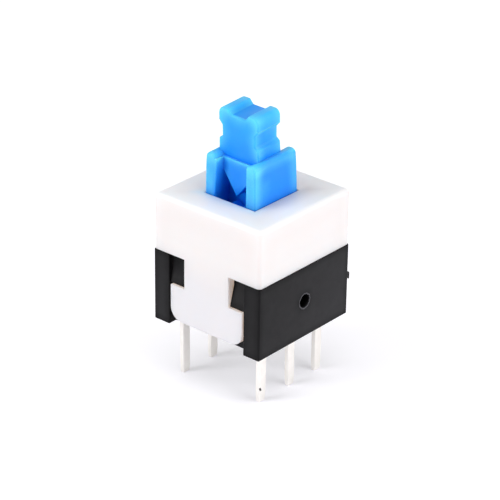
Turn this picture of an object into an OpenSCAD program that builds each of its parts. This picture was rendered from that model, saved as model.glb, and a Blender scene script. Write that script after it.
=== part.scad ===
// Latching push button switch for a circuit board, two poles, six pins.
// The origin is at the centre of the base's underside, +Z points up.
// The switch is drawn released, with its plunger up.

/* [Case] */
// Width and depth of the case
case_w = 8.1; // [7.9:0.1:10]
// Height of the base above the board
base_h = 4.6; // [4.4:0.05:5.2]
// Height of the cover above the base
cover_h = 3.6; // [3.3:0.01:4.2]
// Radius along the cover's top edges
cover_r = 0.3; // [0.2:0.05:0.8]
// Radius of the cover's upright corners
cover_corner_r = 0.25; // [0.2:0.05:0.7]
// Radius of the base's upright corners
base_corner_r = 0.1; // [0.1:0.05:0.5]
// Thickness of the cover's top plate
top_t = 1; // [0.8:0.05:1.2]
// Thickness of the cover's side walls
cover_wall_t = 0.9; // [0.7:0.05:1]
// Thickness of the base's floor
floor_t = 0.6; // [0.4:0.05:0.8]
// Thickness of the base's walls behind the tongues
end_wall_t = 0.5; // [0.35:0.05:0.5]
// Thickness of the base's side walls, which the terminals lie against
side_wall_t = 0.9; // [0.85:0.01:0.95]
// Thickness of the guide sleeve under the cover's top
sleeve_t = 0.5; // [0.35:0.05:0.55]
// Height of the sleeve's lower rim above the board
sleeve_z = 5.15; // [5.1:0.05:5.4]
// Diameter of the holes in the base's side walls
side_hole_d = 0.85; // [0.5:0.05:1.2]
// Height of those holes above the board
side_hole_z = 2.38; // [1.8:0.01:2.8]

/* [Tongues] */
// Width of a tongue's neck
neck_w = 3.4; // [3:0.05:3.8]
// Width of a tongue's foot
foot_w = 5.52; // [5:0.02:5.7]
// Thickness of a tongue
tongue_t = 0.55; // [0.4:0.05:0.6]
// Height of the foot's lower edge above the board
foot_z = 0.4; // [0.2:0.05:0.8]
// Height of the foot's upper edge, where the barbs hold it
ear_z = 2.68; // [2.3:0.02:3]
// Radius of the foot's lower corners
foot_r = 0.85; // [0.3:0.05:1.1]
// Gap round a tongue in its channel
tongue_gap = 0.1; // [0.05:0.01:0.12]
// How far a barb stands out over the foot's ear
barb_out = 0.5; // [0.3:0.02:0.5]
// Gap between a barb and the tongue
barb_gap = 0.05; // [0.02:0.01:0.08]

/* [Plunger] */
// Width and depth of the plunger's block
block_w = 3.65; // [3.5:0.05:3.9]
// Height of the block above the cover at rest
block_up = 2.64; // [2.4:0.02:2.8]
// Running gap round the block in the cover
slide_gap = 0.15; // [0.08:0.01:0.18]
// Thickness of the block's two side rails
rail_t = 0.7; // [0.65:0.05:0.8]
// Radius along the tops of the rails
rail_r = 0.28; // [0.1:0.02:0.34]
// Height of the rails above the web between them
rail_up = 0.26; // [0.15:0.01:0.35]
// Depth of the slots between the rails
slot_d = 0.575; // [0.5:0.025:0.65]
// Full press of the plunger
travel = 2.3; // [2:0.05:2.35]
// Gap left under the plunger at full press
under_gap = 0.2; // [0.1:0.05:0.3]
// How far the stop lugs stand out from the block
lug_out = 0.45; // [0.3:0.05:0.5]
// Gap between the stop lugs and the sleeve at rest
stop_gap = 0.04; // [0.02:0.01:0.06]

/* [Head] */
// Width of the cap-holding head
head_w = 2.96; // [2.7:0.02:3.1]
// Depth of the head
head_d = 1.78; // [1.6:0.02:2]
// Height of the head above the web
head_h = 2.95; // [2.6:0.05:3.2]
// Depth of the grooves that a cap snaps into
groove_d = 0.25; // [0.15:0.01:0.35]
// Height of the bead above the grooves
bead_h = 0.7; // [0.5:0.05:0.8]
// Height of the bead's sloped underside
bead_slope = 0.27; // [0.15:0.01:0.35]
// Height of the grooves' straight part
neck_h = 0.73; // [0.5:0.01:0.85]
// Height of the ledge's slope under the grooves
ledge_slope = 0.2; // [0.1:0.01:0.3]
// Radius of the head's top corners
head_r = 0.35; // [0.15:0.01:0.45]
// Width of the channel's floor across the head's top
channel_w = 1; // [0.7:0.02:1.2]
// Width of each sloped side of the channel
channel_side = 0.26; // [0.15:0.01:0.3]
// Depth of the channel
channel_d = 0.24; // [0.1:0.01:0.3]
// How far the head sits to the right of the block's centre
head_shift = -0.06; // [-0.15:0.01:0.15]
// How far the head sits behind the block's centre
head_back = -0.04; // [-0.08:0.01:0.08]

/* [Latch] */
// Depth of the cam track behind the slot's face
track_d = 0.5; // [0.4:0.02:0.55]
// Height of the guide tooth's tip above the cover
tooth_up = 0.08; // [-0.1:0.01:0.15]
// Rise of the tooth's edges for each unit of width
tooth_slope = 1.3; // [1.1:0.02:1.6]
// Width of the heart island
heart_w = 1.4; // [1.3:0.02:1.44]
// Height of the heart island
heart_h = 1.3; // [1.1:0.02:1.34]
// Depth of the notch in the heart's top
notch_d = 0.28; // [0.2:0.01:0.32]
// Room between the tooth's tip and the heart's top
heart_gap = 0.5; // [0.46:0.01:0.54]
// Diameter of the latch pin's wire
latch_d = 0.3; // [0.25:0.01:0.32]
// Height of the latch pin's pivot above the board
pivot_z = 1.2; // [1.1:0.05:1.3]
// Room between the latch pin's tip and the heart at rest
tip_gap = 0.12; // [0.1:0.01:0.15]
// Room between the latch pin's shank and the heart's face
shank_gap = 0.2; // [0.15:0.01:0.25]
// Running gap of the pin in its pivot hole
pivot_gap = 0.03; // [0.02:0.01:0.04]
// Height of the block that holds the pivot
pivot_block_h = 1.3; // [1.1:0.05:1.5]
// Width of the block that holds the pivot
pivot_block_w = 1.2; // [1:0.05:1.4]
// Room between the latch pin's shank and the face of its pivot block
pivot_room = 0.35; // [0.2:0.05:0.4]
// Gap left at the ends of the latch pin
end_gap = 0.1; // [0.05:0.01:0.15]
// Thickness of the leaf spring
leaf_t = 0.12; // [0.08:0.01:0.15]
// Width of the leaf spring
leaf_w = 1.8; // [1.6:0.05:1.9]
// Gap between the leaf spring and the latch pin
leaf_gap = 0.03; // [0.02:0.01:0.05]
// Depth of the leaf spring's seat in the base's front wall
leaf_seat_d = 0.25; // [0.2:0.01:0.3]
// Length of the leaf spring's bend inside that wall
leaf_bend = 0.45; // [0.35:0.05:0.5]
// How far the leaf spring's free end leans away
leaf_lean = 0.3; // [0.15:0.05:0.4]

/* [Return spring] */
// Diameter of the spring's wire
wire_d = 0.2; // [0.15:0.01:0.22]
// Outside diameter of the spring
spring_d = 1.25; // [1.1:0.05:1.3]
// Number of working turns
turns = 9; // [7:1:10]
// Distance of the spring's axis behind the centre
spring_y = 0.25; // [0.2:0.01:0.3]
// Height of the spring at rest
spring_h = 6; // [5.6:0.05:6.3]
// Height of the spigot inside the spring
spigot_h = 0.8; // [0.5:0.05:1.2]
// Gap round the spring in its bore and on its spigot
spring_gap = 0.1; // [0.05:0.01:0.12]

/* [Terminals] */
// Gap between a row's end pins and the base's end walls
pin_wall_gap = 0.11; // [0.1:0.005:0.15]
// Length of the pins below the board face
pin_len = 3.7; // [3:0.05:4.5]
// Width of a pin
pin_w = 0.6; // [0.5:0.02:0.66]
// Thickness of the terminal strip
strip_t = 0.3; // [0.25:0.01:0.35]
// Width of a pin at its tip
tip_w = 0.34; // [0.2:0.02:0.45]
// Thickness of a pin at its tip
tip_t = 0.16; // [0.1:0.01:0.2]
// Length of the pins' tapered tips
tip_len = 0.6; // [0.3:0.05:0.9]
// Gap round a pin in its slot through the floor
pin_gap = 0.02; // [0.01:0.01:0.04]
// Width of the middle terminal's blade
common_w = 0.9; // [0.7:0.05:1]
// Top of the blades above the board
blade_z = 4.2; // [4:0.05:4.3]
// Top of the pad that closes when latched
low_pad_z = 2.5; // [2.3:0.05:2.6]
// Bottom of the pad that closes when released
high_pad_z = 2.9; // [2.8:0.05:3.1]
// Distance from the floor to the lower pad
pad_lift = 0.2; // [0.1:0.05:0.3]

/* [Moving contacts] */
// Thickness of the contact strip
contact_t = 0.12; // [0.08:0.01:0.14]
// Width of a contact finger
finger_w = 0.7; // [0.5:0.05:0.8]
// Spacing of the contact fingers
finger_pitch = 1.3; // [1.2:0.05:1.4]
// Height of the contact's back plate
plate_h = 1.3; // [1.1:0.05:1.4]
// Depth of the plate's pocket in the plunger
pocket_d = 0.2; // [0.15:0.01:0.25]
// Height of the plate's lower edge above the plunger's end
plate_lift = 0.15; // [0.1:0.05:0.2]
// Drop from the plate's top to where the fingers touch
touch_drop = 1.05; // [0.95:0.01:1.15]
// Length of the fingers' curled ends
curl = 0.4; // [0.2:0.05:0.45]
// Gap between the fingers and the terminals
contact_gap = 0.03; // [0.02:0.01:0.05]
// Diameter of the studs that carry the plate
stud_d = 0.4; // [0.3:0.02:0.5]
// Height of the studs above the plate's lower edge
stud_up = 0.55; // [0.4:0.05:0.65]
// Gap round a stud in the plate
stud_gap = 0.02; // [0.01:0.01:0.04]

/* [Hidden] */
$fn = 48;
eps = 0.01;

// Case
half = case_w / 2;
cover_z = base_h + cover_h;
plate_z = cover_z - top_t;
channel_depth = tongue_t + tongue_gap / 2;
channel_half = foot_w / 2 + tongue_gap;
end_wall_y = half - channel_depth;
cavity_y = end_wall_y - end_wall_t;
cavity_x = half - side_wall_t;
hole_half = block_w / 2 + slide_gap;
sleeve_half = hole_half + sleeve_t;
cover_cavity = half - cover_wall_t;
nub_z = side_hole_z + 0.2;
nub_w = 0.1;
nub_h = 0.4;
nub_out = 0.24;

// Plunger
block_half = block_w / 2;
web_half = block_half - slot_d;
slot_half = block_half - rail_t;
rail_z = cover_z + block_up;
web_z = rail_z - rail_up;
plunger_z = floor_t + under_gap + travel;
lug_top = sleeve_z - stop_gap;

// Latch
tooth_z = cover_z + tooth_up;
track_y = web_half - track_d;
heart_top = tooth_z - heart_gap;
heart_z = heart_top - heart_h;
latch_r = latch_d / 2;
tip_z = heart_z - tip_gap - latch_r;
lane_x = (slot_half + heart_w / 2) / 2;
latch_reach = sqrt(pow(tip_z - pivot_z, 2) + pow(lane_x, 2));
latch_lean = asin(lane_x / latch_reach);
shank_y = web_half + shank_gap + latch_r;
pivot_face_y = shank_y + latch_r + pivot_room;
leaf_y = shank_y + latch_r + leaf_gap + leaf_t / 2;
leaf_seat_z = base_h - leaf_seat_d;

// Spring
bore_d = spring_d + 2 * spring_gap;
spring_top = floor_t + spring_h;
coil_r = (spring_d - wire_d) / 2;

// Terminals and contacts
row_x = cavity_x - strip_t / 2;
inner_x = row_x - strip_t / 2;
pitch = cavity_y - pin_w / 2 - pin_wall_gap;
pad_in = finger_pitch - finger_w / 2;
pocket_x = block_half - pocket_d;
plate_low = plunger_z + plate_lift;
plate_top = plate_low + plate_h;
plate_w = 2 * finger_pitch + finger_w;
touch_z = plate_top - touch_drop;
stud_z = plate_low + stud_up;
stud_y = finger_pitch;

// Square of side w with round corners, about the origin
module round_square(w, r) {
    square([w - 2 * r, w], center = true);
    square([w, w - 2 * r], center = true);
    for (x = [-1, 1], y = [-1, 1])
        translate([x * (w / 2 - r), y * (w / 2 - r)]) circle(r);
}

// Upright outline of width w and height h with round top corners
module round_top(w, h, r) {
    translate([-w / 2, 0]) square([w, h - r]);
    translate([r - w / 2, 0]) square([w - 2 * r, h]);
    for (s = [-1, 1])
        translate([s * (w / 2 - r), h - r]) circle(r);
}

// Turns an outline drawn in X and Z into a solid from y0 to y1
module along_y(y0, y1) {
    translate([0, y1, 0]) rotate([90, 0, 0]) linear_extrude(y1 - y0) children();
}

// Turns an outline drawn in Y and Z into a solid from x0 to x1
module along_x(x0, x1) {
    translate([x0, 0, 0]) rotate([90, 0, 90]) linear_extrude(x1 - x0) children();
}

// Box from one corner to the opposite one
module box(low, high) {
    translate(low) cube(high - low);
}

// Same shape at +Y and, mirrored, at -Y
module both_ends() {
    children();
    mirror([0, 1, 0]) children();
}

// Same shape at +X and, mirrored, at -X
module both_sides() {
    children();
    mirror([1, 0, 0]) children();
}

// Left-hand normal at point i of a path, scaled so that a strip keeps its width
function unit(v) = v / norm(v);
function side_of(v) = [-v[1], v[0]];
function miter(p, i) =
    let (a = i > 0 ? unit(p[i] - p[i - 1]) : unit(p[1] - p[0]))
    let (b = i < len(p) - 1 ? unit(p[i + 1] - p[i]) : a)
    let (n = unit(side_of(a) + side_of(b)))
    n / (n * side_of(a));

// Strip of thickness t that follows the path p
module strip(p, t) {
    polygon(concat(
        [for (i = [0 : len(p) - 1]) p[i] + miter(p, i) * t / 2],
        [for (i = [len(p) - 1 : -1 : 0]) p[i] - miter(p, i) * t / 2]));
}

// ---- Cover -------------------------------------------------------------

module cover_shell() {
    difference() {
        intersection() {
            translate([0, 0, base_h]) linear_extrude(cover_h) round_square(case_w, cover_corner_r);
            along_y(-half, half) translate([0, base_h]) round_top(case_w, cover_h, cover_r);
            along_x(-half, half) translate([0, base_h]) round_top(case_w, cover_h, cover_r);
        }
        box([-cover_cavity, -cover_cavity, base_h - eps], [cover_cavity, cover_cavity, plate_z]);
    }
}

module tongue() {
    along_y(half - tongue_t, half) {
        translate([-neck_w / 2, ear_z - eps]) square([neck_w, base_h - ear_z + 2 * eps]);
        translate([-foot_w / 2, foot_z + foot_r]) square([foot_w, ear_z - foot_z - foot_r]);
        translate([foot_r - foot_w / 2, foot_z]) square([foot_w - 2 * foot_r, ear_z - foot_z]);
        for (s = [-1, 1])
            translate([s * (foot_w / 2 - foot_r), foot_z + foot_r]) circle(foot_r);
    }
}

module cover() {
    color("white") difference() {
        union() {
            cover_shell();
            both_ends() tongue();
            box([-sleeve_half, -sleeve_half, sleeve_z], [sleeve_half, sleeve_half, plate_z + eps]);
        }
        box([-hole_half, -hole_half, sleeve_z - eps], [hole_half, hole_half, cover_z + eps]);
        box([-slot_half, -sleeve_half - eps, sleeve_z - eps], [slot_half, 0, plate_z]);
    }
}

// ---- Base --------------------------------------------------------------

module barb() {
    along_x(neck_w / 2 + barb_gap, channel_half)
        polygon([
            [end_wall_y - eps, base_h],
            [end_wall_y, base_h],
            [end_wall_y + barb_out, ear_z + barb_gap],
            [end_wall_y - eps, ear_z + barb_gap]]);
}

module pivot_block() {
    difference() {
        box([-pivot_block_w / 2, -cavity_y - eps, floor_t - eps],
            [pivot_block_w / 2, -pivot_face_y, floor_t + pivot_block_h]);
        translate([0, -pivot_face_y + eps, pivot_z]) rotate([90, 0, 0])
            cylinder(d = latch_d + 2 * pivot_gap, h = cavity_y - pivot_face_y + eps);
    }
}

module pin_slots() {
    for (x = [-1, 1], j = [-1 : 1])
        box([x * row_x - strip_t / 2 - pin_gap, j * pitch - pin_w / 2 - pin_gap, -eps],
            [x * row_x + strip_t / 2 + pin_gap, j * pitch + pin_w / 2 + pin_gap, floor_t + eps]);
}

module base() {
    color("#2b2b2e") {
        difference() {
            linear_extrude(base_h) round_square(case_w, base_corner_r);
            both_ends()
                box([-channel_half, end_wall_y, -eps], [channel_half, half + eps, base_h + eps]);
            box([-cavity_x, -cavity_y, floor_t], [cavity_x, cavity_y, base_h + eps]);
            box([-leaf_w / 2 - pin_gap, -end_wall_y - eps, leaf_seat_z],
                [leaf_w / 2 + pin_gap, -cavity_y + eps, base_h + eps]);
            pin_slots();
            translate([0, 0, side_hole_z]) rotate([0, 90, 0])
                cylinder(d = side_hole_d, h = case_w + 1, center = true);
        }
        both_ends() both_sides() barb();
        pivot_block();
        translate([0, spring_y, floor_t - eps])
            cylinder(d = 2 * (coil_r - wire_d / 2 - spring_gap), h = spigot_h + eps);
        translate([half - base_corner_r - nub_w, half - base_corner_r, nub_z - nub_h / 2])
            cube([nub_w + base_corner_r - eps, base_corner_r + nub_out, nub_h]);
    }
}

// ---- Plunger -----------------------------------------------------------

module rail() {
    along_y(-block_half, block_half)
        translate([block_half - rail_t / 2, plunger_z]) round_top(rail_t, rail_z - plunger_z, rail_r);
}

module head_outline() {
    w = head_w / 2;
    g = w - groove_d;
    bead_z = head_h - bead_h;
    neck_top = bead_z - bead_slope;
    neck_low = neck_top - neck_h;
    ledge_z = neck_low - ledge_slope;
    difference() {
        union() {
            translate([0, bead_z]) round_top(head_w, bead_h, head_r);
            polygon([[-w, -eps], [w, -eps], [w, ledge_z], [g, neck_low], [g, neck_top], [w, bead_z + eps],
                [-w, bead_z + eps], [-g, neck_top], [-g, neck_low], [-w, ledge_z]]);
        }
        polygon([
            [-channel_w / 2, head_h - channel_d],
            [channel_w / 2, head_h - channel_d],
            [channel_w / 2 + channel_side, head_h],
            [channel_w / 2 + channel_side, head_h + eps],
            [-channel_w / 2 - channel_side, head_h + eps],
            [-channel_w / 2 - channel_side, head_h]]);
    }
}

// The notch sits a little to one side, so that the tooth sends the pin round the heart
module heart() {
    w = heart_w / 2;
    belly = w * 0.9;
    belly_z = heart_z + heart_h * 0.35;
    shoulder_z = heart_top - heart_h * 0.25;
    notch_x = w * 0.15;
    polygon([
        [0, heart_z],
        [belly, belly_z],
        [w, shoulder_z],
        [w - notch_x, heart_top],
        [notch_x, heart_top - notch_d],
        [3 * notch_x - w, heart_top],
        [-w, shoulder_z],
        [-belly, belly_z]]);
}

module track() {
    edge_z = tooth_z + tooth_slope * slot_half;
    along_y(-web_half - eps, -track_y) difference() {
        polygon([[-slot_half, plunger_z - eps], [slot_half, plunger_z - eps], [slot_half, edge_z],
            [0, tooth_z], [-slot_half, edge_z]]);
        heart();
    }
}

module lug() {
    box([slot_half, block_half - eps, plunger_z], [block_half, block_half + lug_out, lug_top]);
}

module pocket() {
    box([pocket_x, -plate_w / 2 - pin_gap, plunger_z - eps],
        [block_half + eps, plate_w / 2 + pin_gap, plate_top + contact_t + pin_gap]);
}

module stud() {
    translate([pocket_x - eps, 0, stud_z]) rotate([0, 90, 0]) cylinder(d = stud_d, h = contact_t + eps);
}

module plunger() {
    color("#3ca5fa") difference() {
        union() {
            difference() {
                union() {
                    both_sides() rail();
                    box([-slot_half - eps, -web_half, plunger_z], [slot_half + eps, web_half, web_z]);
                    both_ends() both_sides() lug();
                }
                track();
                both_sides() pocket();
            }
            both_sides() for (s = [-1, 1]) translate([0, s * stud_y, 0]) stud();
            translate([head_shift, head_back, web_z]) along_y(-head_d / 2, head_d / 2) head_outline();
        }
        translate([0, spring_y, plunger_z - eps]) cylinder(d = bore_d, h = spring_top - plunger_z + eps);
    }
}

// ---- Springs and latch -------------------------------------------------

module return_spring() {
    sides = 8;
    steps = 20;
    end_turns = 1;
    all_turns = turns + 2 * end_turns;
    count = all_turns * steps;
    closed_h = wire_d + eps / 2;
    free_h = spring_h - wire_d - 2 * closed_h * end_turns;
    function rise(t) =
        t < end_turns ? closed_h * t :
        t > end_turns + turns ? closed_h * (t - turns) + free_h :
        closed_h * end_turns + free_h * (t - end_turns) / turns;
    points = [for (i = [0 : count], k = [0 : sides - 1])
        let (a = 360 * i / steps, b = 360 * k / sides)
        let (r = coil_r + wire_d / 2 * cos(b))
        [r * cos(a), r * sin(a), wire_d / 2 + rise(i / steps) + wire_d / 2 * sin(b)]];
    faces = concat(
        [[for (k = [0 : sides - 1]) k]],
        [[for (k = [sides - 1 : -1 : 0]) count * sides + k]],
        [for (i = [0 : count - 1], k = [0 : sides - 1])
            let (n = (k + 1) % sides)
            [i * sides + k, (i + 1) * sides + k, (i + 1) * sides + n, i * sides + n]]);
    color("silver") translate([0, spring_y, floor_t]) polyhedron(points, faces);
}

module latch_pin() {
    shank = latch_reach;
    tip_in = shank_y - track_y - end_gap;
    color("gainsboro") translate([0, -shank_y, pivot_z]) rotate([0, -latch_lean, 0]) {
        cylinder(d = latch_d, h = shank);
        sphere(d = latch_d);
        translate([0, 0, shank]) sphere(d = latch_d);
        rotate([90, 0, 0]) cylinder(d = latch_d, h = cavity_y - shank_y - end_gap);
        translate([0, 0, shank]) rotate([-90, 0, 0]) cylinder(d = latch_d, h = tip_in);
    }
}

module leaf_spring() {
    rise = tip_z - leaf_seat_z;
    seat_mid = leaf_seat_z + leaf_t / 2;
    bend_y = -cavity_y + leaf_bend;
    color("gold") along_x(-leaf_w / 2, leaf_w / 2)
        strip([
            [leaf_gap - end_wall_y, seat_mid],
            [bend_y - leaf_t, seat_mid],
            [bend_y, seat_mid + leaf_t],
            [-leaf_y, leaf_seat_z + rise * 0.6],
            [-leaf_y, leaf_seat_z + rise * 0.75],
            [-leaf_y - leaf_lean, tip_z + leaf_bend]], leaf_t);
}

// ---- Contacts ----------------------------------------------------------

module finger_path() {
    x0 = pocket_x + contact_t / 2;
    x1 = inner_x - contact_gap - contact_t / 2;
    bend = curl / 2;
    strip([
        [x0, plate_low],
        [x0, plate_top - bend],
        [x0 + bend, plate_top],
        [x0 + 2 * bend, plate_top - bend / 4],
        [x1, touch_z + bend],
        [x1, touch_z - bend / 2],
        [x1 - curl, touch_z - bend / 2 - curl * 0.6]], contact_t);
}

module moving_contact() {
    difference() {
        union() {
            for (j = [-1 : 1])
                along_y(j * finger_pitch - finger_w / 2, j * finger_pitch + finger_w / 2) finger_path();
            box([pocket_x, -plate_w / 2, plate_low], [pocket_x + contact_t, plate_w / 2, plate_top - curl]);
        }
        for (s = [-1, 1])
            translate([pocket_x - eps, s * stud_y, stud_z]) rotate([0, 90, 0])
                cylinder(d = stud_d + 2 * stud_gap, h = contact_t + 2 * eps);
    }
}

module pin_outline() {
    polygon([
        [-tip_w / 2, -pin_len], [tip_w / 2, -pin_len], [pin_w / 2, tip_len - pin_len],
        [pin_w / 2, floor_t + eps], [-pin_w / 2, floor_t + eps], [-pin_w / 2, tip_len - pin_len]]);
}

module terminal(j) {
    intersection() {
        along_x(inner_x, inner_x + strip_t) {
            translate([j * pitch, 0]) pin_outline();
            if (j == 0) translate([-common_w / 2, floor_t]) square([common_w, blade_z - floor_t]);
            if (j == -1) {
                translate([-pitch - pin_w / 2, floor_t]) square([pin_w, low_pad_z - floor_t]);
                translate([-pitch - pin_w / 2, floor_t + pad_lift])
                    square([pitch + pin_w / 2 - pad_in, low_pad_z - floor_t - pad_lift]);
            }
            if (j == 1) {
                translate([pitch - pin_w / 2, floor_t]) square([pin_w, blade_z - floor_t]);
                translate([pad_in, high_pad_z]) square([pitch + pin_w / 2 - pad_in, blade_z - high_pad_z]);
            }
        }
        along_y(-half, half) translate([row_x, 0]) polygon([
            [-tip_t / 2, -pin_len], [tip_t / 2, -pin_len], [strip_t / 2, tip_len - pin_len],
            [strip_t / 2, blade_z], [-strip_t / 2, blade_z], [-strip_t / 2, tip_len - pin_len]]);
    }
}

module terminal_right(j) {
    color("#d8d2c6") terminal(j);
}

module terminal_left(j) {
    color("#d8d2c6") mirror([1, 0, 0]) terminal(j);
}

cover();
base();
plunger();
return_spring();
latch_pin();
leaf_spring();
color("goldenrod") mirror([1, 0, 0]) moving_contact();  // moving_contact_left
color("goldenrod") moving_contact();  // moving_contact_right
terminal_left(-1);  // terminal_left_front
terminal_left(0);  // terminal_left_common
terminal_left(1);  // terminal_left_rear
terminal_right(-1);  // terminal_right_front
terminal_right(0);  // terminal_right_common
terminal_right(1);  // terminal_right_rear
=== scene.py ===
import math

import bmesh
import bpy
from mathutils import Matrix, Vector


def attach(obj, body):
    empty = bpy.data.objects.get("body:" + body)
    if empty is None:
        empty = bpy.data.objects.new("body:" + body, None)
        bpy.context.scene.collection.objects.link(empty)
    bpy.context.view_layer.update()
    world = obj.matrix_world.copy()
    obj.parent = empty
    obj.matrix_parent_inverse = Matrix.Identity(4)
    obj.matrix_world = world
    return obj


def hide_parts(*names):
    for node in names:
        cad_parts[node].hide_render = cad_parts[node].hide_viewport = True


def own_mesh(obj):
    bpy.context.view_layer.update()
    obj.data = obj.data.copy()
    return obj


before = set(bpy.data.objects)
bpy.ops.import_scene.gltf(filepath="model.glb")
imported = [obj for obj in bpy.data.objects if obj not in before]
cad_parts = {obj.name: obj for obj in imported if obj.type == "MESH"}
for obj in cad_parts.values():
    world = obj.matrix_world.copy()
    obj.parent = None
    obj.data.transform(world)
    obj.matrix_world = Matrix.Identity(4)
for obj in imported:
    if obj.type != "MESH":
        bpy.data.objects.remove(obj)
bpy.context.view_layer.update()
mm = 0.001

camera = {
    "azimuth": 40.32,        # degrees round the switch, 0 looks along +Y
    "elevation": 26.46,      # degrees above the board
    "roll": 0.80,
    "distance": 128.8 * mm,
    "aim": (-0.036 * mm, -0.123 * mm, 4.352 * mm),
    "lens": 158.4,
    "sensor": 36.0,
}


def makeCamera(settings):
    turn, tilt, roll = (math.radians(settings[key]) for key in ("azimuth", "elevation", "roll"))
    back = Vector((math.sin(turn) * math.cos(tilt), -math.cos(turn) * math.cos(tilt), math.sin(tilt)))
    level = Vector((math.cos(turn), math.sin(turn), 0))
    upright = back.cross(level)
    right = math.cos(roll) * level + math.sin(roll) * upright
    up = back.cross(right)
    data = bpy.data.cameras.new("camera")
    data.lens = settings["lens"]
    data.sensor_width = settings["sensor"]
    data.clip_start = 10 * mm
    data.clip_end = 10
    eye = bpy.data.objects.new("camera", data)
    bpy.context.scene.collection.objects.link(eye)
    eye.location = Vector(settings["aim"]) + settings["distance"] * back
    eye.rotation_mode = "QUATERNION"
    eye.rotation_quaternion = Matrix((right, up, back)).transposed().to_quaternion()
    bpy.context.scene.camera = eye


makeCamera(camera)
print("camera in place")


class Wire:
    # an output socket that can stand in a sum
    def __init__(self, web, socket):
        self.web = web
        self.socket = socket

    def maths(self, operation, *values):
        return self.web.add("ShaderNodeMath", {"operation": operation}, dict(enumerate(values)))

    def __add__(self, other):
        return self.maths("ADD", self, other)

    def __sub__(self, other):
        return self.maths("SUBTRACT", self, other)

    def __rsub__(self, other):
        return self.maths("SUBTRACT", other, self)

    def __mul__(self, other):
        return self.maths("MULTIPLY", self, other)

    def __truediv__(self, other):
        return self.maths("DIVIDE", self, other)

    def __pow__(self, other):
        return self.maths("POWER", self, other)

    def atLeast(self, other):
        return self.maths("MAXIMUM", self, other)

    def atMost(self, other):
        return self.maths("MINIMUM", self, other)

    __radd__ = __add__
    __rmul__ = __mul__


class Web:
    # a node tree, shader or geometry, that is written line by line
    def __init__(self, tree):
        self.tree = tree

    def add(self, kind, settings=None, inputs=None, output=0):
        node = self.tree.nodes.new(kind)
        for key, value in (settings or {}).items():
            setattr(node, key, value)
        for key, value in (inputs or {}).items():
            for one in value if isinstance(value, list) else [value]:
                if isinstance(one, Wire):
                    self.tree.links.new(one.socket, node.inputs[key])
                else:
                    node.inputs[key].default_value = one
        return Wire(self, node.outputs[output]) if node.outputs else None

    def mixColour(self, factor, first, second):
        return self.add("ShaderNodeMix", {"data_type": "RGBA"}, {0: factor, 6: first, 7: second}, output=2)

    def absolute(self, value):
        return self.add("ShaderNodeMath", {"operation": "ABSOLUTE"}, {0: value})

    def parts(self, vector):
        node = self.tree.nodes.new("ShaderNodeSeparateXYZ")
        self.tree.links.new(vector.socket, node.inputs[0])
        return [Wire(self, out) for out in node.outputs]

    def point(self, x, y, z):
        return self.add("ShaderNodeCombineXYZ", {}, {0: x, 1: y, 2: z})

    def thinness(self, reach):
        # 1 where the plastic is thin or ends in an edge, 0 where it is deeper than reach
        inside = {"samples": 6, "inside": True, "only_local": True}
        return 1 - self.add("ShaderNodeAmbientOcclusion", inside, {"Distance": reach}, output="AO")

    def crevice(self, reach):
        # 1 in the bottom of a narrow gap, 0 where hardly anything stands nearer than reach
        room = self.add("ShaderNodeAmbientOcclusion", {"samples": 6}, {"Distance": reach}, output="AO")
        return self.rise(1 - room, 0.12, 1.0)

    def rise(self, value, low, high):
        # 0 below low, 1 above high and straight between them
        return ((value - low) / (high - low)).atLeast(0).atMost(1)

    def noise(self, place, size, detail=2.0, roughness=0.5):
        # size is the width of one blotch, in metres
        return self.add("ShaderNodeTexNoise", {},
                        {"Vector": place, "Scale": 1 / size, "Detail": detail, "Roughness": roughness})


def newMaterial(name):
    material = bpy.data.materials.new(name)
    material.use_nodes = True
    material.node_tree.nodes.clear()
    web = Web(material.node_tree)
    place = web.add("ShaderNodeTexCoord", output=3)
    return material, web, place


def closeMaterial(web, fixed, varied, shadow=None):
    # shadow is how far painted shade fades the surface to a plain dark one
    surface = web.add("ShaderNodeBsdfPrincipled", {}, {**fixed, **varied})
    if shadow:
        dark = web.add("ShaderNodeBsdfDiffuse", {}, {"Color": (0.001, 0.001, 0.001, 1)})
        surface = web.add("ShaderNodeMixShader", {}, {0: shadow, 1: surface, 2: dark})
    web.add("ShaderNodeOutputMaterial", {}, {"Surface": surface})


def roughSkin(web, place, look):
    # the mould's fine grain and, on plastic, its shallow sinks
    height = web.noise(place, look["grain"], 3) * look["grainDepth"]
    if "sink" in look:
        height = web.noise(place, look["sink"], 1) * look["sinkDepth"] + height
    return web.add("ShaderNodeBump", {}, {"Strength": 1.0, "Distance": 1.0, "Height": height})


def patchyGloss(web, place, look):
    return look["gloss"] + look["glossSpread"] * (web.noise(place, look["glossPatch"], 3) - 0.5)


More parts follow.
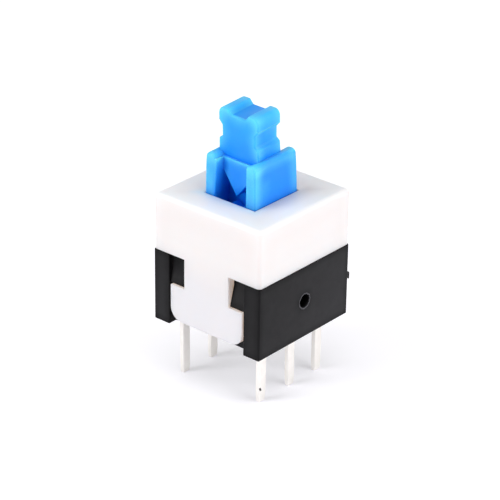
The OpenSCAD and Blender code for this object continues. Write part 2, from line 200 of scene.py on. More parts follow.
whitePlastic = {
    "colour": (0.860, 0.835, 0.855, 1),
    "warmer": (0.885, 0.822, 0.802, 1),
    "warmerZ": (2.5 * mm, 5.5 * mm),
    "blotch": 3.2 * mm,
    "blotchShare": 0.6,
    # painted light: thin parts and edges lighter, standing in for light shining through the milky plastic
    "paintedEdgeGlow": (0.950, 0.915, 0.900, 1),
    "thinReach": 1.3 * mm,
    "thinZ": (3.5 * mm, 5.5 * mm),
    "gap": (0.420, 0.300, 0.210, 1),      # painted glow: emitted warm light in the low gaps, standing in for light the plastic carries into them
    "gapReach": 0.9 * mm,
    "gapZ": (4.5 * mm, 5.0 * mm),
    "topZ": (8.0 * mm, 8.1 * mm),         # what follows lies on top only
    "blockHalf": 1.90 * mm,
    "blockY": -0.155 * mm,
    "bluish": (0.660, 0.860, 1.000, 1),   # painted blue light reflected from the plunger onto the top beside its front
    "bluishReach": 1.1 * mm,
    "bluishY": (-2.4 * mm, -1.0 * mm),
    "shaded": (0.660, 0.620, 0.610, 1),   # painted shadow of the plunger on the top, on its right
    "shadedReach": 1.3 * mm,
    "shadedX": (1.8 * mm, 2.2 * mm),
    "shadedY": (-2.4 * mm, -1.0 * mm),
    # painted light: the top lighter towards its outer edges
    "rim": (1.000, 0.985, 0.970, 1),
    "rimSpan": (2.4 * mm, 4.0 * mm),
    "gloss": 0.42,
    "glossSpread": 0.12,
    "glossPatch": 3.2 / 3 * mm,
    "milk": 0.6,
    "milkDepth": 0.9 * mm,
    "milkColour": (1.0, 0.86, 0.80),
    "grain": 0.030 * mm,
    "grainDepth": 0.0012 * mm,
    "sink": 1.6 * mm,
    "sinkDepth": 0.010 * mm,
}


def makeWhitePlastic(look):
    material, web, place = newMaterial("milky white plastic")
    x, y, z = web.parts(place)
    blotches = (web.noise(place, look["blotch"], 2) - 0.5) * look["blotchShare"]
    warmth = (web.rise(z, *look["warmerZ"]) + blotches).atLeast(0).atMost(1)
    colour = web.mixColour(warmth, look["colour"], look["warmer"])
    # painted light: thin parts and edges glow lighter
    paintedEdgeGlow = web.thinness(look["thinReach"]) * web.rise(z, *look["thinZ"])
    colour = web.mixColour(paintedEdgeGlow, colour, look["paintedEdgeGlow"])
    # painted glow: crevices low on the cover emit warm light
    hidden = web.crevice(look["gapReach"]) * (1 - web.rise(z, *look["gapZ"]))
    paintedGapGlow = web.mixColour(hidden, (0, 0, 0, 1), look["gap"])

    onTop = web.rise(z, *look["topZ"])
    beside = web.absolute(x).atLeast(web.absolute(y - look["blockY"])) - look["blockHalf"]
    paintedBlueLight = (1 - web.rise(beside, 0, look["bluishReach"])) ** 2 * (1 - web.rise(y, *look["bluishY"]))
    colour = web.mixColour(paintedBlueLight * onTop, colour, look["bluish"])
    # painted shadow: the top right of the plunger greyer
    shade = (1 - web.rise(beside, 0, look["shadedReach"])) * web.rise(x, *look["shadedX"])
    shade = shade * web.rise(y, *look["shadedY"])
    colour = web.mixColour(shade * onTop, colour, look["shaded"])
    # painted light: the top whitens towards its outer edges
    rim = web.rise(web.absolute(x).atLeast(web.absolute(y)), *look["rimSpan"])
    colour = web.mixColour(rim * onTop, colour, look["rim"])

    closeMaterial(web, {"IOR": 1.46, "Specular IOR Level": 0.4, "Subsurface Weight": look["milk"],
                        "Subsurface Radius": look["milkColour"], "Subsurface Scale": look["milkDepth"],
                        "Emission Strength": 1.0},
                  {"Base Color": colour, "Roughness": patchyGloss(web, place, look),
                   "Normal": roughSkin(web, place, look), "Emission Color": paintedGapGlow})
    return material


blackPlastic = {
    "colour": (0.0055, 0.0052, 0.0060, 1),
    "bounceLightAndCloud": (0.0230, 0.0225, 0.0250, 1),
    "bounceLightSpan": (-8 * mm, 4 * mm),        # painted floor bounce light, lighter measured to the rear, down and a little to the left
    "bounceLightX": 0.4,
    "cloud": 1.1 * mm,
    "cloudShare": 0.5,
    # painted shade: edges and thin parts darker and partly faded to plain dark
    "edge": (0.0010, 0.0010, 0.0014, 1),
    "edgeReach": 0.50 * mm,
    "edgeShadow": 0.5,
    # painted shade in gaps and recesses
    "gapReach": 1.4 * mm,
    "gapSpan": (0.38, 0.75),
    "gloss": 0.42,
    "glossSpread": 0.22,
    "glossPatch": 0.5 * mm,
    "grain": 0.045 * mm,
    "grainDepth": 0.0022 * mm,
    "sink": 1.3 * mm,
    "sinkDepth": 0.015 * mm,
}
# the ragged lips round the holes have grey thin edges and no painted edge shade
tornPlastic = {**blackPlastic, "edge": (0.09, 0.09, 0.10, 1), "edgeShadow": 0.0, "gloss": 0.3}


def makeBlackPlastic(name, look):
    material, web, place = newMaterial(name)
    x, y, z = web.parts(place)
    clouds = look["cloudShare"] * (web.noise(place, look["cloud"], 4, 0.6) - 0.5)
    # painted floor bounce light lower down, with a random cloudy tone mixed in
    bounceLightAndCloudMix = web.rise(y - z - look["bounceLightX"] * x, *look["bounceLightSpan"]) + clouds
    colour = web.mixColour(bounceLightAndCloudMix.atLeast(0).atMost(1), look["colour"], look["bounceLightAndCloud"])
    # painted shade: edges and thin parts darker
    edge = web.thinness(look["edgeReach"])
    colour = web.mixColour(edge, colour, look["edge"])
    # painted shade: crevices fade to plain dark
    shadow = web.rise(web.crevice(look["gapReach"]), *look["gapSpan"])
    closeMaterial(web, {"IOR": 1.48, "Specular IOR Level": 0.15},
                  {"Base Color": colour, "Roughness": patchyGloss(web, place, look),
                   "Normal": roughSkin(web, place, look)},
                  shadow.atLeast(look["edgeShadow"] * edge))
    return material


bluePlastic = {
    "colour": (0.010, 0.280, 0.960, 1),
    "lighter": (0.020, 0.400, 0.990, 1),
    "lighterZ": (10 * mm, 13 * mm),
    "cloud": 1.5 * mm,
    # painted light: cyan glow on thin parts and edges, standing in for light shining through the plastic
    "paintedEdgeGlow": (0.190, 0.920, 1.000, 1),
    "thinReach": 0.80 * mm,
    "thinPower": 1.25,
    "rearFade": 0.55,                     # less painted edge glow on the block's rear edges, which are less thin than they are sharp
    "rearY": (0.6 * mm, 1.6 * mm),
    "rearZ": (10.7 * mm, 10.8 * mm),
    # painted shade down in the slot below the head
    "slot": (0.000, 0.240, 0.920, 1),
    "slotZ": (8.2 * mm, 10.3 * mm),
    "slotLeft": (-1.35 * mm, -1.0 * mm),
    "slotRight": (1.19 * mm, 1.21 * mm),
    "channel": (0.006, 0.310, 0.960, 1),  # painted shade in the hollow on the head
    "channelShare": 0.8,
    "channelX": (0.02 * mm, 0.47 * mm),   # its middle and half its width
    "channelY": (-1.28 * mm, 0.52 * mm),
    "channelZ": (12.9 * mm, 13.0 * mm),
    "channelEdge": 0.05 * mm,
    # painted shade in gaps, strongest low down
    "gap": (0.000, 0.090, 0.660, 1),
    "gapReach": 1.2 * mm,
    "gapZ": (8.4 * mm, 9.6 * mm),
    "gapShare": 0.35,                     # what is left of it above gapZ
    "gloss": 0.38,
    "glossSpread": 0.14,
    "glossPatch": 0.6 * mm,
    "milk": 0.45,
    "milkDepth": 0.45 * mm,
    "milkColour": (0.15, 0.75, 1.0),
    "grain": 0.04 * mm,
    "grainDepth": 0.0012 * mm,
    "sink": 1.0 * mm,
    "sinkDepth": 0.012 * mm,
}


def makeBluePlastic(look):
    material, web, place = newMaterial("blue moulded plastic")
    x, y, z = web.parts(place)
    high = web.rise(z, *look["lighterZ"]) + web.noise(place, look["cloud"], 3) - 0.5
    colour = web.mixColour(high.atLeast(0).atMost(1), look["colour"], look["lighter"])

    # painted shade: the slot darker towards its bottom
    slot = (1 - web.rise(z, *look["slotZ"])) * web.rise(x, *look["slotLeft"])
    slot = slot * (1 - web.rise(x, *look["slotRight"]))
    middle, half = look["channelX"]
    near, far = look["channelY"]
    edge = look["channelEdge"]
    channel = (1 - web.rise(web.absolute(x - middle), half, half + edge)) * web.rise(z, *look["channelZ"])
    channel = channel * web.rise(y, near, near + edge) * (1 - web.rise(y, far, far + edge))
    behind = look["rearFade"] * web.rise(y, *look["rearY"]) * (1 - web.rise(z, *look["rearZ"]))
    # painted light: thin parts and edges glow cyan, except in the slot, the channel and at the rear
    paintedEdgeGlow = web.thinness(look["thinReach"]) ** look["thinPower"] * (1 - slot) * (1 - channel) * (1 - behind)
    colour = web.mixColour(paintedEdgeGlow, colour, look["paintedEdgeGlow"])
    colour = web.mixColour(look["channelShare"] * channel, colour, look["channel"])
    colour = web.mixColour(slot, colour, look["slot"])
    # painted shade: crevices darker, most below gapZ
    depth = web.crevice(look["gapReach"]) * (1 - web.rise(z, *look["gapZ"])).atLeast(look["gapShare"])
    colour = web.mixColour(depth, colour, look["gap"])

    closeMaterial(web, {"IOR": 1.46, "Specular IOR Level": 0.3, "Subsurface Weight": look["milk"],
                        "Subsurface Radius": look["milkColour"], "Subsurface Scale": look["milkDepth"]},
                  {"Base Color": colour, "Roughness": patchyGloss(web, place, look),
                   "Normal": roughSkin(web, place, look)})
    return material


metals = {
    "tin": {"colour": (0.99, 0.97, 0.93, 1), "dull": (0.90, 0.86, 0.81, 1), "metal": 0.55,
            "gloss": 0.40, "glossSpread": 0.25, "grain": 0.10 * mm, "grainDepth": 0.006 * mm},
    "brass": {"colour": (0.86, 0.60, 0.25, 1), "dull": (0.62, 0.42, 0.18, 1), "metal": 1.0,
              "gloss": 0.25, "glossSpread": 0.20, "grain": 0.08 * mm, "grainDepth": 0.002 * mm},
    "steel": {"colour": (0.62, 0.62, 0.60, 1), "dull": (0.42, 0.42, 0.41, 1), "metal": 1.0,
              "gloss": 0.24, "glossSpread": 0.20, "grain": 0.06 * mm, "grainDepth": 0.002 * mm},
}
metalPatches = {"cloud": 0.5 * mm, "glossPatch": 0.25 * mm}
# a dark slanted mark painted on the front right pin's right side
pinDarkMark = {
    "place": (3.13 * mm, -2.77 * mm, -2.70 * mm),
    "half": (0.09 * mm, 0.13 * mm),
    "slant": 0.4,
    "depth": 0.02 * mm,
    "colour": (0.02, 0.02, 0.02, 1),
}


def makeMetal(name, look, darkMark=None):
    look = {**look, **metalPatches}
    material, web, place = newMaterial(name)
    colour = web.mixColour(web.noise(place, look["cloud"], 4, 0.6), look["dull"], look["colour"])
    if darkMark:
        x, y, z = web.parts(place)
        right, front, low = darkMark["place"]
        across = web.absolute((y - front) + darkMark["slant"] * (z - low)) / darkMark["half"][0]
        along = web.absolute(z - low) / darkMark["half"][1]
        spot = (1 - web.rise(across.atLeast(along), 0.6, 1)) * web.rise(x, right - darkMark["depth"], right)
        colour = web.mixColour(spot, colour, darkMark["colour"])
    closeMaterial(web, {"Metallic": look["metal"]},
                  {"Base Color": colour, "Roughness": patchyGloss(web, place, look),
                   "Normal": roughSkin(web, place, look)})
    return material


white = makeWhitePlastic(whitePlastic)
black = makeBlackPlastic("black moulded plastic", blackPlastic)
torn = makeBlackPlastic("torn black plastic", tornPlastic)
blue = makeBluePlastic(bluePlastic)
tin = makeMetal("tin coat", metals["tin"], pinDarkMark)
brass = makeMetal("contact brass", metals["brass"])
steel = makeMetal("spring steel", metals["steel"])
print("materials made")


def addPiece(name, mesh, material, body, nodes):
    mesh.materials.clear()
    mesh.materials.append(material)
    piece = bpy.data.objects.new(name, mesh)
    bpy.context.scene.collection.objects.link(piece)
    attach(piece, body)
    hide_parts(*nodes)
    return piece


rounding = {
    "merge": 0.001 * mm,
    "flat": math.radians(1),
    "crisp": math.radians(28),
    "segments": 3,
}


def roundedCopy(node, zones, reshape):
    # A merged copy of a CAD piece, with its flat faces whole and its crisp edges rounded.
    # A zone is its low corner, its high corner and its radius, in mm; the first that fits counts.
    shape = bmesh.new()
    shape.from_mesh(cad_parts[node].data)
    bmesh.ops.remove_doubles(shape, verts=shape.verts, dist=rounding["merge"])
    bmesh.ops.dissolve_limit(shape, angle_limit=rounding["flat"], verts=shape.verts, edges=shape.edges)
    largest = max(radius for low, high, radius in zones)
    weight = shape.edges.layers.float.new("bevel_weight_edge")
    for edge in shape.edges:
        bend = edge.calc_face_angle_signed()
        edge.smooth = bend > -rounding["crisp"]
        if bend < rounding["crisp"]:
            continue
        middle = (edge.verts[0].co + edge.verts[1].co) / 2
        radius = next(radius for low, high, radius in zones
                      if all(low[i] * mm <= middle[i] <= high[i] * mm for i in range(3)))
        edge[weight] = radius / largest
    reshape(shape)
    mesh = bpy.data.meshes.new(node)
    shape.to_mesh(mesh)
    shape.free()
    mesh.shade_smooth()
    worker = bpy.data.objects.new("worker", mesh)
    bpy.context.scene.collection.objects.link(worker)
    bevel = worker.modifiers.new("round", "BEVEL")
    bevel.limit_method = "WEIGHT"
    bevel.width = largest * mm
    bevel.segments = rounding["segments"]
    bevel.use_clamp_overlap = False
    bevel.harden_normals = False
    smooth = worker.modifiers.new("even", "WEIGHTED_NORMAL")
    smooth.keep_sharp = True
    graph = bpy.context.evaluated_depsgraph_get()
    result = bpy.data.meshes.new_from_object(worker.evaluated_get(graph), depsgraph=graph)
    bpy.data.objects.remove(worker)
    return result


everything = ((-9, -9, -9), (9, 9, 99))


def between(value, pairs):
    # reads a value off a line that bends at the given pairs
    for (low, first), (high, last) in zip(pairs, pairs[1:]):
        if value <= high:
            break
    return first + (last - first) * (value - low) / (high - low)


coverHole = {
    "half": 1.975 * mm,
    "left": -1.895 * mm,
    "right": 1.98 * mm,
    "front": -2.12 * mm,
    "rear": 1.79 * mm,        # only at its top
    "lowZ": 5 * mm,
    "topZ": 8.2 * mm,
    "close": 0.005 * mm,
}
coverZones = [
    ((-3.2, -3.2, 4), (3.2, 3.2, 7.5), 0),
    ((-2.2, -2.2, 7.5), (2.2, 2.2, 8.3), 0.03),
    (*everything, 0.05),
]


def moveHole(shape):
    # the hole sits a little forward, as close round the block as it is moulded
    half, close = coverHole["half"], coverHole["close"]
    for corner in shape.verts:
        x, y, z = corner.co
        if z < coverHole["lowZ"] or max(abs(x), abs(y)) > half + close:
            continue
        if abs(x) > half - close:
            corner.co.x = coverHole["left"] if x < 0 else coverHole["right"]
        if y < close - half:
            corner.co.y = coverHole["front"]
        elif y > half - close and z > coverHole["topZ"] - close:
            corner.co.y = coverHole["rear"]


addPiece("white_cover", roundedCopy("cover", coverZones, moveHole), white,
         "case", ["cover"])

nub = {
    "from": (3.8 * mm, 4.06 * mm, 2.3 * mm),
    "outY": 4.24 * mm,
    "levels": ((2.38 * mm, 2.16 * mm), (2.78 * mm, 2.66 * mm)),
}
baseZones = [
    ((-3.2, -3.0, 0.5), (3.2, 3.0, 5), 0),
    ((-3.3, -3.0, -0.1), (3.3, 3.0, 0.1), 0.02),
    ((3.6, 4.06, 2.3), (4.2, 4.4, 2.9), 0.07),
    (*everything, 0.05),
]


def roundNub(shape):
    # the cut-off stub at the rear edge is a little taller than it is long
    for corner in shape.verts:
        if corner.co.x > nub["from"][0] and corner.co.y > nub["from"][1]:
            corner.co.y = nub["outY"]
            corner.co.z = between(corner.co.z, nub["levels"])


addPiece("black_base", roundedCopy("base", baseZones, roundNub), black,
         "case", ["base"])

plungerStand = {
    "guideZ": (7.20 * mm, 8.22 * mm),     # bottom and top of the guide in the cover
    "topZ": 10.86 * mm,
    "trackHalf": (1.2 * mm, 1.24 * mm),
    "trackZ": 10.3 * mm,
    "shift": (0.04 * mm, -0.155 * mm),    # how far it stands from the middle of the cover
    "swell": (1.033, 1.008),              # width above the guide and at the block's top
    "blockLean": (1.9, 0.3),              # degrees towards the front and the right
    "headLean": (2.9, 1.2),
    "headShift": (-0.03 * mm, 0),
    "headHalf": (1.56 * mm, 0.96 * mm),
    "headY": ((-0.93 * mm, -1.02 * mm), (0.85 * mm, 0.97 * mm)),
    "webZ": 10.58 * mm,
    "slotHalf": 1.126 * mm,
    "slotY": 0.7 * mm,
    "slotX": ((-1.2 * mm, -1.2 * mm), (-1.125 * mm, -0.99 * mm), (0, -0.03 * mm),
              (1.125 * mm, 1.16 * mm), (1.2 * mm, 1.2 * mm)),
    "headZ": ((10.58 * mm, 10.54 * mm), (11.63 * mm, 11.53 * mm), (11.83 * mm, 11.72 * mm),
              (12.56 * mm, 12.38 * mm), (12.83 * mm, 12.66 * mm), (13.60 * mm, 13.60 * mm)),
    "close": 0.002 * mm,
}
plungerZones = [
    ((-1.84, -1.84, 3), (1.84, 1.84, 5.1), 0),
    ((-2.0, -1.9, 10.3), (2.0, -1.8, 10.9), 0.14),
    ((-2.0, 1.8, 10.3), (2.0, 1.9, 10.9), 0.14),
    ((-0.85, -0.86, 13.2), (0.75, 0.8, 13.6), 0.04),
    ((-1.7, -1.0, 10.6), (1.7, 0.9, 14), 0.10),
    (*everything, 0.07),
]


def turned(spot, root, lean):
    front, right = (math.radians(angle) for angle in lean)
    return root + Matrix.Rotation(front, 3, "X") @ Matrix.Rotation(right, 3, "Y") @ (spot - root)


def standPlunger(shape):
    # Above the cover the block swells and narrows again and stands askew, as its play lets it.
    # The guided foot and the latch pin's track stay as they are.
    stand = plungerStand
    low, guide = stand["guideZ"]
    for height in (low, guide):
        everyPart = shape.verts[:] + shape.edges[:] + shape.faces[:]
        bmesh.ops.bisect_plane(shape, geom=everyPart, plane_co=(0, 0, height), plane_no=(0, 0, 1))
    root, neck = Vector((0, 0, guide)), Vector((0, 0, stand["webZ"]))
    shift = Vector((*stand["shift"], 0))
    wide, deep = stand["headHalf"]
    trackWide, trackDeep = stand["trackHalf"]
    close = stand["close"]
    for corner in shape.verts:
        spot = corner.co.copy()
        inTrack = spot.z < stand["trackZ"] and abs(spot.x) < trackWide and abs(spot.y) < trackDeep
        if spot.z < low + close or inTrack:
            continue
        besideSlot = abs(spot.x) < stand["slotHalf"] and abs(spot.y) > stand["slotY"]
        if besideSlot and guide + close < spot.z < neck.z + close:
            spot.x = between(spot.x, stand["slotX"])
        if spot.z > neck.z - close and abs(spot.x) < wide and abs(spot.y) < deep:
            spot.z = between(spot.z, stand["headZ"])
            spot.y = between(spot.y, stand["headY"])
            spot = turned(spot, neck, stand["headLean"]) + Vector((*stand["headShift"], 0))
            corner.co = turned(neck, root, stand["blockLean"]) - neck + spot + shift
            continue
        rise = min(max((spot.z - low) / (guide - low), 0), 1)
        swell = between(max(spot.z, guide), tuple(zip((guide, stand["topZ"]), stand["swell"])))
        spot.x *= 1 + (swell - 1) * rise
        spot.y *= 1 + (swell - 1) * rise
        corner.co = (turned(spot, root, stand["blockLean"]) if rise == 1 else spot) + shift * rise


addPiece("blue_plunger", roundedCopy("plunger", plungerZones, standPlunger), blue,
         "plunger", ["plunger"])
print("plastic pieces made")


def newRule(name, inputs):
    # a geometry tree with one named length, number or whole number for each input
    kinds = {float: "NodeSocketFloat", int: "NodeSocketInt"}
    tree = bpy.data.node_groups.new(name, "GeometryNodeTree")
    tree.interface.new_socket("Geometry", in_out="OUTPUT", socket_type="NodeSocketGeometry")
    for label, value in inputs.items():
        tree.interface.new_socket(label, in_out="INPUT", socket_type=kinds[type(value)])
    web = Web(tree)
    entry = tree.nodes.new("NodeGroupInput")
    return web, {label: Wire(web, entry.outputs[label]) for label in inputs}


def closeRule(web, shape, material):
    whole = web.add("GeometryNodeRealizeInstances", {}, {"Geometry": shape})
    whole = web.add("GeometryNodeSetMaterial", {}, {"Geometry": whole, "Material": material})
    web.add("NodeGroupOutput", {}, {"Geometry": whole})


def growMesh(web, inputs):
    # runs a rule and keeps its result as a plain mesh
    worker = bpy.data.objects.new("worker", bpy.data.meshes.new("worker"))
    bpy.context.scene.collection.objects.link(worker)
    modifier = worker.modifiers.new("rule", "NODES")
    modifier.node_group = web.tree
    for item in web.tree.interface.items_tree:
        if item.in_out == "INPUT":
            modifier[item.identifier] = inputs[item.name]
    graph = bpy.context.evaluated_depsgraph_get()
    mesh = bpy.data.meshes.new_from_object(worker.evaluated_get(graph), depsgraph=graph)
    bpy.data.objects.remove(worker)
    mesh.shade_smooth()
    mesh.set_sharp_from_angle(angle=math.radians(35))
    return mesh


holeRims = {
    "Wall X": 4.05 * mm,
    "Hole Z": 2.38 * mm,
    "Radius": 0.47 * mm,
    "Lip": 0.035 * mm,
    "Raggedness": 0.09 * mm,
    "Tear density": 6500.0,
    "Swell density": 3000.0,
    "Lip sides": 8,
    "Steps": 72,
    "Seed": 3,
}


def castRims(inputs, material):
    # a thin ragged lip round the hole in each side wall
    web, size = newRule("hole lips", inputs)
    ring = web.add("GeometryNodeCurvePrimitiveCircle", {"mode": "RADIUS"},
                   {"Resolution": size["Steps"], "Radius": size["Radius"]})
    wobble = web.add("ShaderNodeTexNoise", {"noise_dimensions": "4D"},
                     {"W": size["Seed"] * 1.0, "Scale": size["Tear density"], "Detail": 3.0})
    outwards = web.add("ShaderNodeVectorMath", {"operation": "NORMALIZE"},
                       {0: web.add("GeometryNodeInputPosition")})
    push = web.add("ShaderNodeVectorMath", {"operation": "SCALE"},
                   {0: outwards, "Scale": (wobble - 0.5) * 2 * size["Raggedness"]})
    ring = web.add("GeometryNodeSetPosition", {}, {"Geometry": ring, "Offset": push})
    lip = web.add("GeometryNodeCurvePrimitiveCircle", {"mode": "RADIUS"},
                  {"Resolution": size["Lip sides"], "Radius": size["Lip"]})
    thick = 0.5 + web.add("ShaderNodeTexNoise", {}, {"Scale": size["Swell density"], "Detail": 1.0})
    lip = web.add("GeometryNodeCurveToMesh", {}, {"Curve": ring, "Profile Curve": lip, "Scale": thick})
    sides = [web.add("GeometryNodeTransform", {},
                     {"Geometry": lip, "Rotation": (0, math.pi / 2, 0),
                      "Translation": web.point(side * size["Wall X"], 0, size["Hole Z"])})
             for side in (-1, 1)]
    closeRule(web, web.add("GeometryNodeJoinGeometry", {}, {"Geometry": sides}), material)
    return growMesh(web, inputs)


springWire = {
    "Coil radius": 0.525 * mm,
    "Wire radius": 0.1 * mm,
    "Working turns": 9,
    "End turns": 1,
    "Height": 6.0 * mm,
    "Axis Y": 0.25 * mm,
    "Foot Z": 0.6 * mm,
    "Steps per turn": 32,
    "Wire sides": 12,
    "Closed turn pitch": 2.05,     # in wire radii
}


def windSpring(inputs, material):
    web, size = newRule("wound spring", inputs)
    turns = size["Working turns"] + 2 * size["End turns"]
    line = web.add("GeometryNodeCurvePrimitiveLine")
    line = web.add("GeometryNodeResampleCurve", {"mode": "COUNT"},
                   {"Curve": line, "Count": turns * size["Steps per turn"] + 1})
    turn = web.add("GeometryNodeSplineParameter") * turns
    closedRise = size["Closed turn pitch"] * size["Wire radius"]
    openRise = size["Height"] - 2 * size["Wire radius"] - 2 * closedRise * size["End turns"]
    openTurn = (turn - size["End turns"]).atLeast(0).atMost(size["Working turns"])
    height = closedRise * (turn - openTurn) + openRise * openTurn / size["Working turns"]
    angle = turn * math.tau
    side = size["Coil radius"] * web.add("ShaderNodeMath", {"operation": "COSINE"}, {0: angle})
    rear = size["Coil radius"] * web.add("ShaderNodeMath", {"operation": "SINE"}, {0: angle})
    place = web.point(side, rear + size["Axis Y"], height + size["Wire radius"] + size["Foot Z"])
    line = web.add("GeometryNodeSetPosition", {}, {"Geometry": line, "Position": place})
    ring = web.add("GeometryNodeCurvePrimitiveCircle", {"mode": "RADIUS"},
                   {"Resolution": size["Wire sides"], "Radius": size["Wire radius"]})
    coil = web.add("GeometryNodeCurveToMesh", {},
                   {"Curve": line, "Profile Curve": ring, "Fill Caps": True})
    closeRule(web, coil, material)
    return growMesh(web, inputs)


terminalStrip = {
    "Row distance": 6.0 * mm,
    "Pitch": 2.54 * mm,
    "Left pin length": 3.85 * mm,
    "Right pin length": 3.57 * mm,
    "Pin width": 0.60 * mm,
    "Strip thickness": 0.30 * mm,
    "Edge radius": 0.04 * mm,
    "Tip share": 0.86,
    "Tip length": 0.55 * mm,
    "Nose length": 0.04 * mm,
    "Nose share": 0.95,
    "Pin steps": 36,
    "Root Z": 0.66 * mm,
    "Floor Z": 0.60 * mm,
    "Common width": 0.90 * mm,
    "Blade top Z": 4.20 * mm,
    "Low pad Z": 2.50 * mm,
    "High pad Z": 2.90 * mm,
    "Pad lift": 0.20 * mm,
    "Pad inset": 0.95 * mm,
    "Lean": 0.012,
    "Seed": 4,
}


def addBox(web, y0, y1, z0, z1, thickness):
    cube = web.add("GeometryNodeMeshCube", {}, {"Size": web.point(thickness, y1 - y0, z1 - z0)})
    middle = web.point(0, (y0 + y1) / 2, (z0 + z1) / 2)
    return web.add("GeometryNodeTransform", {}, {"Geometry": cube, "Translation": middle})


def addPin(web, size, length):
    # a blade that narrows to its tip, drawn along X and then turned down
    whole = length + size["Root Z"]
    line = web.add("GeometryNodeCurvePrimitiveLine")
    line = web.add("GeometryNodeResampleCurve", {"mode": "COUNT"},
                   {"Curve": line, "Count": size["Pin steps"]})
    fromTip = whole * (1 - web.add("GeometryNodeSplineParameter")) ** 2
    line = web.add("GeometryNodeSetPosition", {},
                   {"Geometry": line, "Position": web.point(fromTip, 0, 0)})
    along = web.parts(web.add("GeometryNodeInputPosition"))[0]
    taper = size["Tip share"] + (1 - size["Tip share"]) * (along / size["Tip length"]).atMost(1)
    nose = (along / size["Nose length"]).atMost(1)
    noseShape = size["Nose share"] + (1 - size["Nose share"]) * (1 - (1 - nose) ** 2) ** 0.5
    outline = web.add("GeometryNodeCurvePrimitiveQuadrilateral", {"mode": "RECTANGLE"},
                      {"Width": size["Pin width"], "Height": size["Strip thickness"]})
    outline = web.add("GeometryNodeFilletCurve", {"mode": "POLY"},
                      {"Curve": outline, "Radius": size["Edge radius"], "Count": 3})
    blade = web.add("GeometryNodeCurveToMesh", {}, {"Curve": line, "Profile Curve": outline,
                                                    "Scale": taper * noseShape, "Fill Caps": True})
    return web.add("GeometryNodeTransform", {}, {"Geometry": blade, "Rotation": (0, -math.pi / 2, 0),
                                                 "Translation": web.point(0, 0, -1 * length)})


def addRow(web, size, side, length):
    foot = web.point(side * size["Row distance"] / 2, -1 * size["Pitch"], 0)
    points = web.add("GeometryNodeMeshLine", {"mode": "OFFSET"},
                     {"Count": 3, "Start Location": foot, "Offset": web.point(0, size["Pitch"], 0)})
    sway = web.point(size["Lean"], size["Lean"], 0)
    lean = web.add("FunctionNodeRandomValue", {"data_type": "FLOAT_VECTOR"},
                   {0: web.point(-1 * size["Lean"], -1 * size["Lean"], 0), 1: sway,
                    "Seed": size["Seed"] + side})
    pins = web.add("GeometryNodeInstanceOnPoints", {},
                   {"Points": points, "Instance": addPin(web, size, length), "Rotation": lean})
    half, edge = size["Pin width"] / 2, size["Pitch"] + size["Pin width"] / 2
    low, top = size["Floor Z"], size["Blade top Z"]
    common = 0.5 * size["Common width"]
    spans = [    # front, rear, bottom and top of each flat part
        (-1 * edge, half - size["Pitch"], low, size["Low pad Z"]),
        (-1 * edge, -1 * size["Pad inset"], low + size["Pad lift"], size["Low pad Z"]),
        (-1 * common, common, low, top),
        (size["Pitch"] - half, edge, low, top),
        (size["Pad inset"], edge, size["High pad Z"], top),
    ]
    blades = web.add("GeometryNodeMeshBoolean", {"operation": "UNION", "solver": "EXACT"},
                     {"Mesh 2": [addBox(web, *span, size["Strip thickness"]) for span in spans]})
    blades = web.add("GeometryNodeTransform", {},
                     {"Geometry": blades, "Translation": web.point(side * size["Row distance"] / 2, 0, 0)})
    return [pins, blades]


def stampTerminals(inputs, material):
    web, size = newRule("stamped terminals", inputs)
    rows = addRow(web, size, -1, size["Left pin length"]) + addRow(web, size, 1, size["Right pin length"])
    closeRule(web, web.add("GeometryNodeJoinGeometry", {}, {"Geometry": rows}), material)
    return growMesh(web, inputs)


spring = addPiece("return_coil", windSpring(springWire, steel), steel,
                  "case", ["return_spring"])
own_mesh(spring)
addPiece("solder_pins", stampTerminals(terminalStrip, tin), tin,
         "case", [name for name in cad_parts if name.startswith("terminal")])
addPiece("hole_lips", castRims(holeRims, torn), torn, "case", [])
print("spring, terminals and hole lips grown")

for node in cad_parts.values():
    if node.hide_render:
        continue
    node.data.materials.clear()
    node.data.materials.append(steel if node.name == "latch_pin" else brass)
print("inner metal pieces finished")


studio = {
    "tableWidth": 3.0,
    "tableHeight": -3.71 * mm,
    "tableTilt": 2.67,       # degrees, the left pins stand a little lower
    "tableColour": (0.80, 0.79, 0.84, 1),
    "tableLift": 0.43,
    # painted contact shadow round the switch on the table
    "shadowReach": 4.3 * mm,
    "shadow": 0.45,
    "shadowColour": (0, 0, 0.12, 1),
    "air": 0.32,
}

lampTarget = Vector((0, 0, 4 * mm))
lamps = {
    "left window": {"azimuth": -31, "elevation": 20, "distance": 0.30, "size": 0.16, "power": 0.54},
    "right window": {"azimuth": 100, "elevation": 18, "distance": 0.30, "size": 0.26, "power": 0.72},
    "overhead": {"azimuth": 20, "elevation": 78, "distance": 0.40, "size": 0.30, "power": 0.40},
}


def seenRays(web):
    # 1 for what is seen directly, in a reflection or through something clear
    paths = web.tree.nodes.new("ShaderNodeLightPath")
    kinds = ("Is Camera Ray", "Is Glossy Ray", "Is Transmission Ray")
    camera, glossy, clear = (Wire(web, paths.outputs[kind]) for kind in kinds)
    return camera + glossy + clear


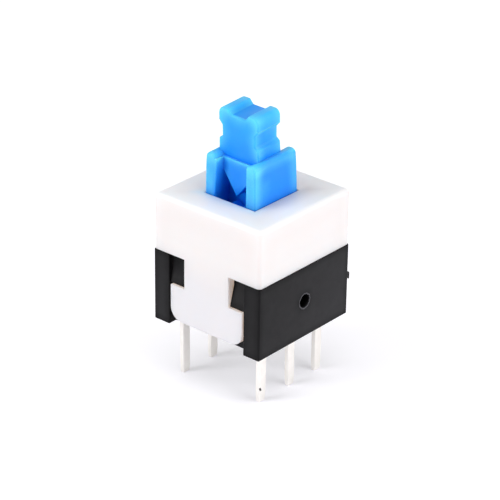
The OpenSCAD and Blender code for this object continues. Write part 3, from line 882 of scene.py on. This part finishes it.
def makeStudio(look):
    material, web = newMaterial("paper table")[:2]
    # painted shadow: the table darkens and its glow dims where the switch stands near
    lit = 1 - look["shadow"] * web.crevice(look["shadowReach"])
    diffuse = web.add("ShaderNodeBsdfDiffuse", {},
                      {"Color": web.mixColour(1 - lit, look["tableColour"], look["shadowColour"])})
    glow = web.add("ShaderNodeEmission", {},
                   {"Color": (1, 1, 1, 1), "Strength": seenRays(web) * lit * look["tableLift"]})
    surface = web.add("ShaderNodeAddShader", {}, {0: diffuse, 1: glow})
    fromBelow = web.add("ShaderNodeNewGeometry", output=6)
    clear = web.add("ShaderNodeBsdfTransparent")
    surface = web.add("ShaderNodeMixShader", {}, {0: fromBelow, 1: surface, 2: clear})
    web.add("ShaderNodeOutputMaterial", {}, {"Surface": surface})
    half = look["tableWidth"] / 2
    mesh = bpy.data.meshes.new("paper table")
    slope = math.tan(math.radians(look["tableTilt"]))
    mesh.from_pydata([(x, y, look["tableHeight"] + slope * x) for x, y in (
        (-half, -half), (half, -half), (half, half), (-half, half))], [], [(0, 1, 2, 3)])
    mesh.materials.append(material)
    table = bpy.data.objects.new("paper_table", mesh)
    bpy.context.scene.collection.objects.link(table)

    world = bpy.data.worlds.new("studio air")
    bpy.context.scene.world = world
    world.use_nodes = True
    world.node_tree.nodes.clear()
    air = Web(world.node_tree)
    strength = look["air"] + (1 - look["air"]) * seenRays(air).atMost(1)
    glow = air.add("ShaderNodeBackground", {}, {"Color": (1, 1, 1, 1), "Strength": strength})
    air.add("ShaderNodeOutputWorld", {}, {"Surface": glow})


def addLamp(name, settings):
    turn, tilt = math.radians(settings["azimuth"]), math.radians(settings["elevation"])
    back = Vector((math.sin(turn) * math.cos(tilt), -math.cos(turn) * math.cos(tilt), math.sin(tilt)))
    data = bpy.data.lights.new(name, "AREA")
    data.shape = "SQUARE"
    data.size = settings["size"]
    data.energy = settings["power"]
    lamp = bpy.data.objects.new(name, data)
    bpy.context.scene.collection.objects.link(lamp)
    lamp.location = back * settings["distance"] + lampTarget
    lamp.rotation_euler = back.to_track_quat("Z", "Y").to_euler()


makeStudio(studio)
for name, settings in lamps.items():
    addLamp(name, settings)
bpy.context.scene.view_settings.view_transform = "Standard"
print("studio lit")
